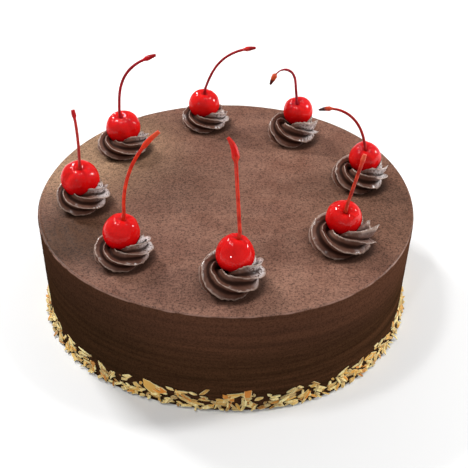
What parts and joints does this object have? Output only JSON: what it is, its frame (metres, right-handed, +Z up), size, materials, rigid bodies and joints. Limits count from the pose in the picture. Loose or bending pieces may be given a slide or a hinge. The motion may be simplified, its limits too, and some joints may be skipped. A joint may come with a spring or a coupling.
{
  "type": "chocolate cake",
  "caption": "Round chocolate iced cake with toasted almond slivers pressed round its foot and stemmed red cherries on piped star rosettes round its top.",
  "frame": {"origin": "middle of the cake's flat underside, on the axis of its round body", "axes": "+Z up through the cake; -Y is its front, which the picture shows; +X is its right"},
  "size_m": [0.2343, 0.236, 0.1423],
  "materials": {
    "icing": "satin chocolate icing, smoothed by hand, with toasted almond slivers at the foot",
    "piping": "piped chocolate icing with soft sheen on its ridges",
    "cherry": "glossy candied cherry skin",
    "stem": "dyed red stem, smooth, browner at its knob"
  },
  "bodies": {
    "root": {"cake": "icing", "rosette_1": "piping", "rosette_2": "piping", "rosette_3": "piping", "rosette_4": "piping", "rosette_5": "piping", "rosette_6": "piping", "rosette_7": "piping", "rosette_8": "piping", "cherry_1": "cherry", "cherry_2": "cherry", "cherry_3": "cherry", "cherry_4": "cherry", "cherry_5": "cherry", "cherry_6": "cherry", "cherry_7": "cherry", "cherry_8": "cherry", "stem_1": "stem", "stem_2": "stem", "stem_3": "stem", "stem_4": "stem", "stem_5": "stem", "stem_6": "stem", "stem_7": "stem", "stem_8": "stem"}
  },
  "joints": []
}
